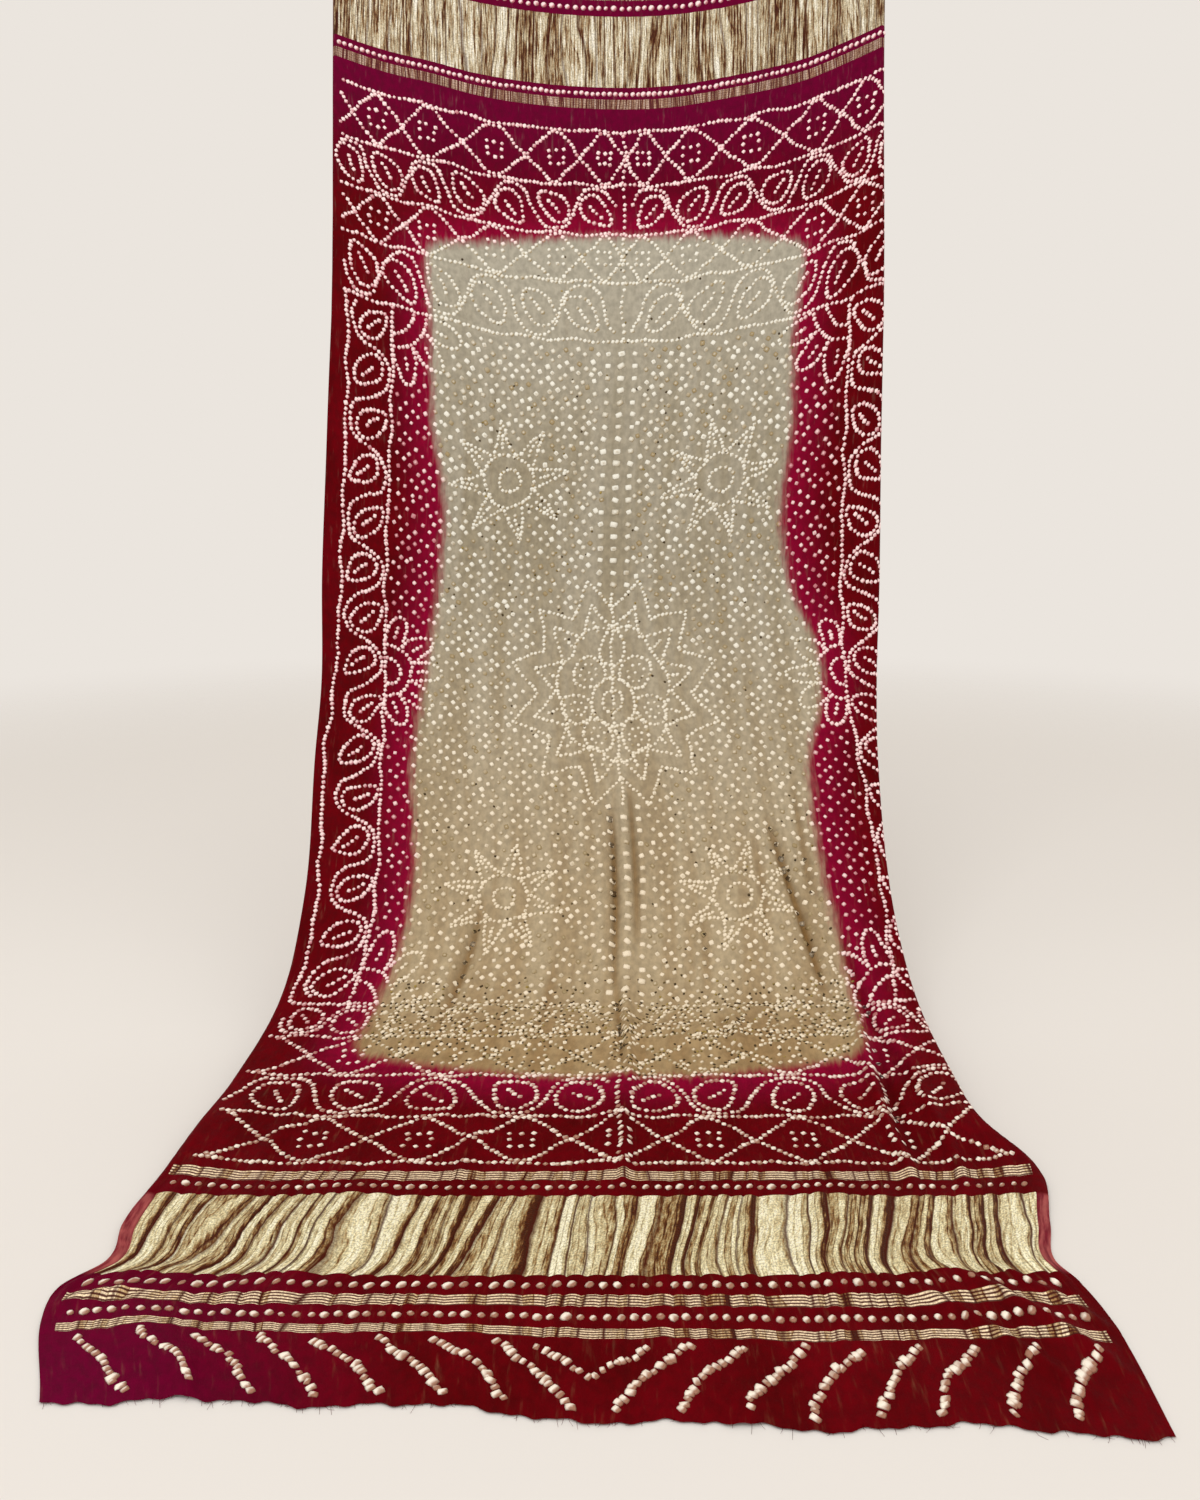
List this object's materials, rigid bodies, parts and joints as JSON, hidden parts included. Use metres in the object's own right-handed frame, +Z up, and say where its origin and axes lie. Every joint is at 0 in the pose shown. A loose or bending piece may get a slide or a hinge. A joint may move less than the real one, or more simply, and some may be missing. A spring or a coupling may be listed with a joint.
{
  "type": "bandhani cloth",
  "caption": "Tie-dyed woven stole with gold striped ends, hanging from its top edge and curving forward to lie on the floor.",
  "frame": {"origin": "middle of the cloth's top edge, where it is held", "axes": "+Z up, the face of the cloth looks along -Y, +X to its right seen from the front; the lower end runs out along -Y on the floor"},
  "size_m": [0.9562, 1.2411, 1.7198],
  "materials": {
    "dyed_crepe": "resist-dyed crepe, deep red borders and beige field",
    "tied_dots": "undyed resist dots, slightly peaked",
    "gold_zari": "woven metallic gold stripe"
  },
  "bodies": {
    "root": {"cloth": "dyed_crepe"}
  },
  "joints": []
}
